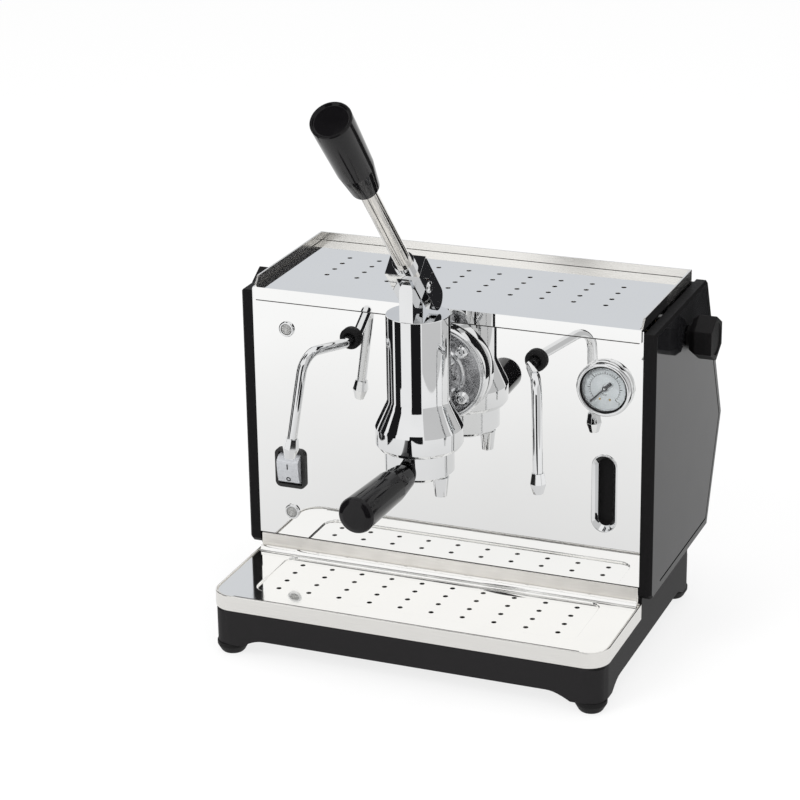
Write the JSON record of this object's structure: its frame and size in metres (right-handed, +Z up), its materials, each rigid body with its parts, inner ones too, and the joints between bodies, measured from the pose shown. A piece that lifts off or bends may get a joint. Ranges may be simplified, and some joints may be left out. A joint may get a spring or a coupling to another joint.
{
  "type": "lever espresso machine",
  "caption": "Small spring-lever espresso machine with a mirror front panel, hot water and steam wands, drip tray and cup shelf.",
  "frame": {"origin": "on the ground, in the middle of the machine's width and of its depth from the lever grip to the back", "axes": "+X to the right as seen from the front, +Y to the back, +Z up"},
  "size_m": [0.398, 0.421, 0.4963],
  "materials": {
    "base_black": "satin",
    "rubber_black": "matt",
    "zinc_sheet": "plain",
    "mirror_steel": "mirror polished",
    "satin_steel": "satin",
    "panel_dark": "gloss",
    "plain_steel": "turned",
    "copper": "plain copper",
    "brass": "turned",
    "chromed": "polished",
    "black_gloss": "gloss",
    "black_matte": "matt",
    "grey_plastic": "matt",
    "clear_glass": "clear",
    "lamp_plastic": "clear",
    "dial_white": "printed",
    "needle_black": "matt"
  },
  "bodies": {
    "machine": {"base": "base_black", "feet": "rubber_black", "chassis_plate": "base_black", "front_panel": "mirror_steel", "left_side_panel": "panel_dark", "right_side_panel": "panel_dark", "rear_panel": "panel_dark", "rear_screws": "plain_steel", "boiler_cradle": "zinc_sheet", "boiler": "copper", "heating_element": "plain_steel", "pressure_switch": "black_matte", "safety_valve": "brass", "left_valve": "brass", "right_valve": "brass", "copper_pipes": "copper", "left_grommet": "rubber_black", "right_grommet": "rubber_black", "sight_bezel": "chromed", "sight_tube": "clear_glass", "sight_fittings": "brass", "gauge_case": "plain_steel", "gauge_bezel": "chromed", "gauge_dial": "dial_white", "gauge_lens": "clear_glass", "switch_body": "black_matte", "lamp_rings": "chromed", "lamp_lenses": "lamp_plastic", "cord_gland": "black_matte", "group_body": "chromed", "group_gasket": "rubber_black", "group_bolts": "chromed", "head_gasket": "rubber_black", "shower_screen": "plain_steel", "main_spring": "plain_steel", "fulcrum_pin": "plain_steel"},
    "lever": {"lever_fork": "chromed", "lever_rod": "plain_steel", "lever_grip": "black_gloss"},
    "piston": {"piston": "brass", "piston_seals": "rubber_black", "piston_rod": "plain_steel", "cross_pin": "plain_steel"},
    "portafilter": {"portafilter_body": "chromed", "filter_basket": "plain_steel", "twin_spout": "chromed", "portafilter_handle": "black_gloss"},
    "left_wand": {"left_wand": "chromed", "left_nozzle": "chromed"},
    "right_wand": {"right_wand": "chromed", "right_nozzle": "chromed"},
    "left_knob": {"left_knob": "black_matte", "left_spindle": "plain_steel"},
    "right_knob": {"right_knob": "black_matte", "right_spindle": "plain_steel"},
    "rocker": {"switch_rocker": "grey_plastic"},
    "needle": {"gauge_needle": "needle_black"},
    "drip_tray": {"drip_tray": "satin_steel"},
    "drip_grid": {"drip_grid": "mirror_steel"},
    "cup_tray": {"cup_tray": "mirror_steel"}
  },
  "joints": [
    {"name": "lever_pull", "type": "hinge", "parent": "machine", "child": "lever", "pos_m": [0, -0.05351, 0.322], "axis": [1, 0, 0], "range_deg": [0, 65], "stiffness_Nm_per_rad": 4, "springref_deg": -28.65},
    {"name": "piston_stroke", "type": "slide", "parent": "machine", "child": "piston", "axis": [0, 0, 1], "range_m": [0, 0.024], "deforming": ["main_spring"]},
    {"name": "portafilter_lock", "type": "hinge", "parent": "machine", "child": "portafilter", "pos_m": [0, -0.04251, 0.19], "axis": [0, 0, 1], "range_deg": [-45, 0]},
    {"name": "left_wand_swivel", "type": "hinge", "parent": "machine", "child": "left_wand", "pos_m": [-0.0785, 0.00949, 0.25], "axis": [0, 1, 0], "range_deg": [-25, 40]},
    {"name": "right_wand_swivel", "type": "hinge", "parent": "machine", "child": "right_wand", "pos_m": [0.0785, 0.00949, 0.25], "axis": [0, 1, 0], "range_deg": [-40, 25]},
    {"name": "left_knob_turn", "type": "hinge", "parent": "machine", "child": "left_knob", "pos_m": [-0.175, 0.09649, 0.253], "axis": [-1, 0, 0], "range_deg": [0, 360]},
    {"name": "right_knob_turn", "type": "hinge", "parent": "machine", "child": "right_knob", "pos_m": [0.175, 0.09649, 0.253], "axis": [1, 0, 0], "range_deg": [0, 360]},
    {"name": "rocker_tilt", "type": "hinge", "parent": "machine", "child": "rocker", "pos_m": [-0.135, 0.01249, 0.13], "axis": [1, 0, 0], "range_deg": [-18, 0]},
    {"name": "needle_sweep", "type": "hinge", "parent": "machine", "child": "needle", "pos_m": [0.135, 0.00749, 0.234], "axis": [0, 1, 0], "range_deg": [0, 270]},
    {"name": "drip_tray_slide", "type": "slide", "parent": "machine", "child": "drip_tray", "axis": [0, -1, 0], "range_m": [0, 0.11]},
    {"name": "drip_grid_lift", "type": "slide", "parent": "drip_tray", "child": "drip_grid", "axis": [0, 0, 1], "range_m": [0, 0.03]},
    {"name": "cup_tray_lift", "type": "slide", "parent": "machine", "child": "cup_tray", "axis": [0, 0, 1], "range_m": [0, 0.05]}
  ],
  "couplings": [
    {"joint": "piston_stroke", "follows": "lever_pull", "m_per_rad": 0.021155}
  ]
}
